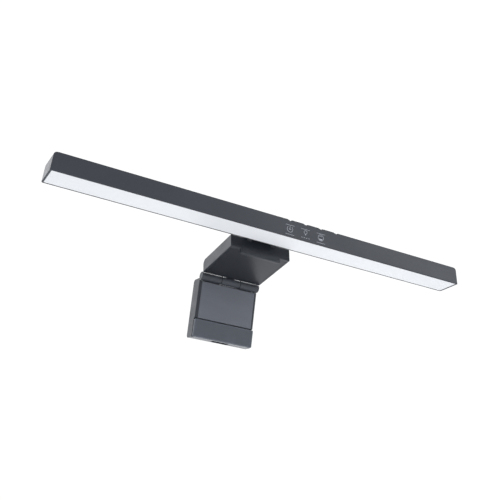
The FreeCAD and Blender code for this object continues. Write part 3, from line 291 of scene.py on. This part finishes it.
def soft_rubber(name, colour, roughness, grain=1.0, dust=0.35, rub=0.06, edge_wear_and_highlight=0.0):
    """Moulded silicone: very fine leather-like pits, dust that clings in patches, and, where asked for, a painted
    highlight along its edges.
    """
    finish = Finish(name, roughness, ior=1.45)
    patches = finish.span(finish.noise(70.0, 4.0), 0.0, dust, 0.5, 0.8)
    dusty = finish.blend(patches, colour, scaled(colour, 1.6))
    fine = finish.noise(2600.0, 3.0)
    tone = finish.blend(finish.span(fine, 0.0, 0.4), dusty, scaled(colour, 0.75))
    # These paler edges are a painted highlight for the light that a rounded rubber rim catches; the amount given
    # is the highlight's strength, not wear.
    if edge_wear_and_highlight:
        wear_and_highlight_mask = finish.product(finish.edges(RUBBER_HIGHLIGHT_EDGE_WIDTH), edge_wear_and_highlight)
        tone = finish.blend(wear_and_highlight_mask, tone, scaled(colour, 3.2))
    finish.colour(tone)
    finish.roughness(finish.span(finish.noise(160.0, 3.0), roughness - rub, roughness + rub))
    finish.bump(finish.total(finish.cells(1700.0), fine), RUBBER_PIT_DEPTH * grain)
    return finish.material


def frosted_diffuser(name, colour, roughness):
    """Milky acrylic sheet: satin surface, faint depth and a very fine frosting."""
    finish = Finish(name, roughness, ior=1.49)
    cloud = finish.span(finish.noise(22.0, 2.0, finish.stretched(0.2, 1.0, 1.0)), 0.0, 1.0)
    finish.colour(finish.blend(cloud, scaled(colour, 0.985), scaled(colour, 1.02)))
    finish.roughness(finish.span(finish.noise(120.0, 3.0), roughness - 0.04, roughness + 0.06))
    finish.bump(finish.noise(6000.0), FROSTING_DEPTH)
    finish.shader.inputs["Subsurface Weight"].default_value = 0.12
    finish.shader.inputs["Subsurface Radius"].default_value = (1.2 * MM, 1.2 * MM, 1.3 * MM)
    return finish.material


def painted_casting(name, colour, roughness):
    """Satin paint over a casting: orange-peel, with a little wear on its edges."""
    finish = Finish(name, roughness)
    cloud = finish.span(finish.noise(60.0, 3.0), 0.0, 1.0)
    tone = finish.blend(cloud, scaled(colour, 0.88), scaled(colour, 1.12))
    patches = finish.span(finish.noise(420.0, 4.0), 0.0, 0.35, 0.45, 0.7)
    wear_and_highlight_mask = finish.product(finish.edges(PAINT_EDGE_WIDTH), patches)
    finish.colour(finish.blend(wear_and_highlight_mask, tone, scaled(colour, 2.2)))
    finish.roughness(finish.span(finish.noise(200.0, 3.0), roughness - 0.06, roughness + 0.08))
    finish.bump(finish.noise(900.0, 3.0), ORANGE_PEEL_DEPTH)
    return finish.material


def brushed_metal(name, colour, roughness, stretch):
    """Turned or brushed metal: long fine lines along one axis, slight tarnish in patches."""
    finish = Finish(name, roughness, metallic=1.0)
    lines = finish.noise(2400.0, 3.0, finish.stretched(*stretch))
    tone = finish.blend(finish.span(lines, 0.0, 1.0), scaled(colour, 0.82), scaled(colour, 1.08))
    tarnish = finish.span(finish.noise(150.0, 4.0), 0.0, 0.35, 0.5, 0.8)
    finish.colour(finish.blend(tarnish, tone, scaled(colour, 0.55)))
    finish.roughness(finish.span(lines, roughness - 0.08, roughness + 0.12))
    finish.bump(lines, BRUSHING_DEPTH)
    return finish.material


def cast_iron(name, dark, light):
    """Bare sand casting: coarse dull grain, mottled from dark to light."""
    finish = Finish(name, 0.62, metallic=0.8)
    mottle = finish.span(finish.noise(180.0, 4.0), 0.0, 1.0)
    finish.colour(finish.blend(mottle, dark, light))
    finish.roughness(finish.span(finish.noise(500.0, 3.0), 0.5, 0.75))
    finish.bump(finish.total(finish.cells(900.0), finish.noise(1500.0, 4.0)), SAND_CAST_DEPTH)
    return finish.material


def circuit_board(name, colour, trace):
    """Solder mask with faint copper tracks under it."""
    finish = Finish(name, 0.3)
    tracks = finish.cells(420.0)
    finish.colour(finish.blend(finish.span(tracks, 0.0, 1.0, 0.42, 0.5), colour, trace))
    finish.roughness(finish.span(finish.noise(300.0), 0.25, 0.4))
    finish.bump(tracks, TRACK_DEPTH)
    return finish.material


def plain_moulding(name, colour, roughness, grain_scale=1500.0):
    """Small moulded or printed piece: slight tone and gloss variation with a fine grain."""
    finish = Finish(name, roughness)
    grain = finish.noise(grain_scale, 3.0)
    finish.colour(finish.blend(finish.span(grain, 0.0, 1.0), scaled(colour, 0.85), scaled(colour, 1.1)))
    finish.roughness(finish.span(finish.noise(400.0), roughness - 0.06, roughness + 0.06))
    finish.bump(grain, FINE_GRAIN_DEPTH)
    return finish.material


# ---- the finishes -------------------------------------------------------------------------------
BAR_GREY = (0.0245, 0.028, 0.036)
# The clip's grey is the bar's plastic made darker: a painted shade for the bar's shadow on the head's front.
CLIP_GREY_WITH_PAINTED_SHADE = (0.020, 0.023, 0.029)
PANEL_GREY = (0.115, 0.123, 0.142)
PAD_GREY = (0.075, 0.083, 0.098)
PAD_BLACK = (0.02, 0.022, 0.027)
HINGE_GREY = (0.038, 0.042, 0.051)
CASTING_GREY = (0.035, 0.037, 0.04)
DIFFUSER_WHITE = (0.848, 0.85, 0.848)
REFLECTOR_WHITE = (0.82, 0.82, 0.82)
ALUMINIUM = (0.8, 0.8, 0.81)
BOARD_WHITE = (0.75, 0.75, 0.73)
BOARD_WHITE_TRACK = (0.62, 0.6, 0.55)
BOARD_GREEN = (0.015, 0.12, 0.045)
BOARD_GREEN_TRACK = (0.03, 0.2, 0.08)
WARM_PHOSPHOR = (0.8, 0.55, 0.15)
COOL_PHOSPHOR = (0.8, 0.74, 0.35)
GOLD_PLATING = (0.85, 0.62, 0.3)
CHIP_BLACK = (0.012, 0.012, 0.014)
INK_GREY = (0.42, 0.43, 0.46)
SCREW_STEEL = (0.5, 0.5, 0.52)
PIN_STEEL = (0.55, 0.55, 0.57)
SOCKET_STEEL = (0.6, 0.6, 0.62)
WIRE_BLACK = (0.015, 0.015, 0.017)
IRON_DARK = (0.07, 0.07, 0.072)
IRON_LIGHT = (0.16, 0.16, 0.165)
BRASS = (0.72, 0.52, 0.22)


def make_materials():
    """One finish for each material slot of the record."""
    return {
        "bar_plastic": moulded_plastic("bar_plastic", BAR_GREY, 0.36),
        # The clip's darker grey is painted shade for the bar above it.
        "clip_plastic": moulded_plastic("clip_plastic", CLIP_GREY_WITH_PAINTED_SHADE, 0.38),
        "leg_panel_plastic": moulded_plastic("leg_panel_plastic", PANEL_GREY, 0.4, edge_wear_and_highlight=0.35),
        # The end pad's paler edges are a painted highlight on its rounded rim.
        "end_pad": soft_rubber("end_pad", PAD_GREY, 0.46, edge_wear_and_highlight=0.9),
        "soft_pad": soft_rubber("soft_pad", PAD_BLACK, 0.3, grain=0.05, dust=0.05, rub=0.015),
        "hinge_metal": painted_casting("hinge_metal", HINGE_GREY, 0.46),
        "cast_metal": painted_casting("cast_metal", CASTING_GREY, 0.4),
        "diffuser_white": frosted_diffuser("diffuser_white", DIFFUSER_WHITE, 0.42),
        "reflector_white": plain_moulding("reflector_white", REFLECTOR_WHITE, 0.55),
        "bare_aluminium": brushed_metal("bare_aluminium", ALUMINIUM, 0.34, (0.02, 1.0, 1.0)),
        "board_white": circuit_board("board_white", BOARD_WHITE, BOARD_WHITE_TRACK),
        "led_warm": plain_moulding("led_warm", WARM_PHOSPHOR, 0.3),
        "led_cool": plain_moulding("led_cool", COOL_PHOSPHOR, 0.3),
        "board_green": circuit_board("board_green", BOARD_GREEN, BOARD_GREEN_TRACK),
        "contact_metal": brushed_metal("contact_metal", GOLD_PLATING, 0.3, (1.0, 1.0, 0.1)),
        "chip_black": plain_moulding("chip_black", CHIP_BLACK, 0.45),
        "print_grey": plain_moulding("print_grey", INK_GREY, 0.5, grain_scale=2500.0),
        "screw_steel": brushed_metal("screw_steel", SCREW_STEEL, 0.32, (1.0, 1.0, 0.1)),
        "pin_steel": brushed_metal("pin_steel", PIN_STEEL, 0.25, (1.0, 0.1, 0.1)),
        "wire_jacket": soft_rubber("wire_jacket", WIRE_BLACK, 0.5),
        "weight_iron": cast_iron("weight_iron", IRON_DARK, IRON_LIGHT),
        "bush_brass": brushed_metal("bush_brass", BRASS, 0.3, (1.0, 0.1, 0.1)),
        "socket_steel": brushed_metal("socket_steel", SOCKET_STEEL, 0.28, (1.0, 1.0, 0.05)),
    }


def dress_frame(materials):
    """Give every CAD node the finish of its slot."""
    for row in frame["record"]["subparts"]:
        piece = nodes[row["node"]]
        piece.data.materials.clear()
        piece.data.materials.append(materials[row["material_slot"]])


# ---- fine pieces --------------------------------------------------------------------------------
# Sizes are in millimetres, in the own frame of the body that the piece rides on. The two angles are
# how far each body is turned about its joint at rest.
BAR_ROLL_DEG = 7.2
LEG_SWING_DEG = 14.4
WELD_DISTANCE = 0.0001 * MM

KEY_FIRST_X = 10.0
KEY_PITCH = 16.0
MARK_MIDDLE_Z = -0.9
MARK_RELIEF = 0.05
MARK_LINE = 0.34
RING_RADIUS = 3.0
ARC_STEP_DEG = 9
ARC_FEWEST_STEPS = 4

# A stroke of a mark: half its length, its bottom and its top, the last two from the marks' middle.
RULE_ABOVE = (4.4, 3.65, 3.95)
RULE_BELOW = (4.4, -5.2, -4.9)
POWER_UPRIGHT = (MARK_LINE / 2, 0.2, 3.2)
POWER_FOOT = (1.3, -0.3, 0.1)
BULB_COLLAR = (0.75, -1.0, -0.4)
BULB_TIP = (0.55, -1.7, -1.3)
DASH = (0.55, -4.5, -4.0)
DASH_OFFSETS = (-3.6, -1.2, 1.2, 3.6)
COLOUR_SHINE = (1.4, 1.2, 1.5)

# An arc of a mark: its centre's height from the marks' middle, its outer radius, the width of its
# line, and its first and last angle in degrees, counted from +X towards +Z.
POWER_RING = (0.0, RING_RADIUS, MARK_LINE, 130.0, 410.0)
BULB_GLASS = (1.2, 1.7, MARK_LINE, -60.0, 240.0)
COLOUR_RING = (0.0, RING_RADIUS, MARK_LINE, 0.0, 360.0)
COLOUR_SHADE = (0.0, 2.4, 1.1, 220.0, 320.0)

CONTACT_COUNT = 12
CONTACT_PITCH = 0.5
CONTACT_HALF_WIDTH = 0.13
CONTACT_RELIEF = 0.05
CONTACT_INSET = 0.3
CONTACT_LENGTH = 3.3


class BodyFrame:
    """A body's own frame: millimetres from its joint's axis, turned about X as the body is at rest."""

    def __init__(self, joint, turn_deg):
        self.origin = Vector(joints[joint]["pos_m"])
        self.turn = Matrix.Rotation(math.radians(turn_deg), 3, "X")

    def place(self, x, y, z):
        """A point of this frame, in the whole object's frame and in metres."""
        return self.origin + self.turn @ (Vector((x, y, z)) * MM)

    def corners(self, node):
        """A CAD node's lowest and highest corners in this frame."""
        turn_back = self.turn.transposed()
        vertices = nodes[node].data.vertices
        points = [turn_back @ (vertex.co - self.origin) / MM for vertex in vertices]
        low = Vector([min(values) for values in zip(*points)])
        high = Vector([max(values) for values in zip(*points)])
        return low, high


def rectangle(x, half_width, bottom, top):
    """The outline of a rectangle centred on x."""
    left = x - half_width
    right = x + half_width
    return [(left, bottom), (right, bottom), (right, top), (left, top)]


def add_slab(mesh, outline, place, near, far):
    """A thin prism in a bmesh: outline is (x, z) points, near and far its two y levels."""
    front = [mesh.verts.new(place(x, near, z)) for x, z in outline]
    back = [mesh.verts.new(place(x, far, z)) for x, z in outline]
    mesh.faces.new(front)
    mesh.faces.new(list(reversed(back)))
    count = len(outline)
    for index in range(count):
        after = (index + 1) % count
        mesh.faces.new((front[after], front[index], back[index], back[after]))


def finish_mesh(name, mesh, body, material):
    """Turn a bmesh into a piece that rides on a body."""
    bmesh.ops.remove_doubles(mesh, verts=mesh.verts, dist=WELD_DISTANCE)
    bmesh.ops.recalc_face_normals(mesh, faces=mesh.faces)
    data = bpy.data.meshes.new(name)
    mesh.to_mesh(data)
    mesh.free()
    data.materials.append(material)
    piece = bpy.data.objects.new(name, data)
    bpy.context.scene.collection.objects.link(piece)
    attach(piece, body)
    return piece


class MarkPen:
    """Draws slightly raised marks on the bar's front face, all in one mesh."""

    def __init__(self):
        self.mesh = bmesh.new()
        self.bar_frame = BodyFrame("bar_tilt", BAR_ROLL_DEG)
        self.face = self.bar_frame.corners("bar_housing")[0].y

    def slab(self, outline):
        add_slab(self.mesh, outline, self.bar_frame.place, self.face - MARK_RELIEF, self.face)

    def stroke(self, x, shape):
        half_length, bottom, top = shape
        self.slab(rectangle(x, half_length, MARK_MIDDLE_Z + bottom, MARK_MIDDLE_Z + top))

    def arc(self, x, shape):
        """A curved band made of short slabs."""
        height, radius, width, start_deg, end_deg = shape
        z = MARK_MIDDLE_Z + height
        inner = radius - width
        sweep_deg = end_deg - start_deg
        steps = max(ARC_FEWEST_STEPS, int(abs(sweep_deg) / ARC_STEP_DEG))
        for index in range(steps):
            first = math.radians(start_deg + sweep_deg * index / steps)
            last = math.radians(start_deg + sweep_deg * (index + 1) / steps)
            corners = ((radius, first), (radius, last), (inner, last), (inner, first))
            self.slab([(x + reach * math.cos(turn), z + reach * math.sin(turn)) for reach, turn in corners])


def draw_power_mark(pen, x):
    """A ring open at its top, with an upright stroke in the opening and a short one under it."""
    pen.arc(x, POWER_RING)
    pen.stroke(x, POWER_UPRIGHT)
    pen.stroke(x, POWER_FOOT)


def draw_brightness_mark(pen, x):
    """A light bulb, open at its foot over two short strokes, above a row of dashes."""
    pen.arc(x, BULB_GLASS)
    pen.stroke(x, BULB_COLLAR)
    pen.stroke(x, BULB_TIP)
    for offset in DASH_OFFSETS:
        pen.stroke(x + offset, DASH)


def draw_colour_mark(pen, x):
    """A closed ring with a thick arc low inside it and a short stroke high inside it."""
    pen.arc(x, COLOUR_RING)
    pen.arc(x, COLOUR_SHADE)
    pen.stroke(x, COLOUR_SHINE)


def make_touch_marks(material):
    """Printed marks for power, brightness and light colour, each with a line above it. The first and
    the last have a line below them as well."""
    pen = MarkPen()
    power_x, bright_x, colour_x = [KEY_FIRST_X + index * KEY_PITCH for index in range(3)]
    for x in (power_x, bright_x, colour_x):
        pen.stroke(x, RULE_ABOVE)
    for x in (power_x, colour_x):
        pen.stroke(x, RULE_BELOW)
    draw_power_mark(pen, power_x)
    draw_brightness_mark(pen, bright_x)
    draw_colour_mark(pen, colour_x)
    marks = finish_mesh("touch_marks", pen.mesh, "bar", material)
    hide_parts("touch_icons")


def make_socket_contacts(material):
    """A row of contact strips on each side of the power socket's tongue."""
    leg_frame = BodyFrame("leg_swing", LEG_SWING_DEG)
    low, high = leg_frame.corners("usb_tongue")
    bottom = low.z + CONTACT_INSET
    mesh = bmesh.new()
    for near, far in ((low.y - CONTACT_RELIEF, low.y), (high.y, high.y + CONTACT_RELIEF)):
        for index in range(CONTACT_COUNT):
            x = (index - (CONTACT_COUNT - 1) / 2) * CONTACT_PITCH
            outline = rectangle(x, CONTACT_HALF_WIDTH, bottom, bottom + CONTACT_LENGTH)
            add_slab(mesh, outline, leg_frame.place, near, far)
    contacts = finish_mesh("socket_contacts", mesh, "leg", material)


# ---- the scene ----------------------------------------------------------------------------------
make_camera()
make_world()
make_lights()
make_floor()
materials = make_materials()
dress_frame(materials)
make_touch_marks(materials["print_grey"])
make_socket_contacts(materials["contact_metal"])
bpy.context.scene.view_settings.view_transform = "Standard"
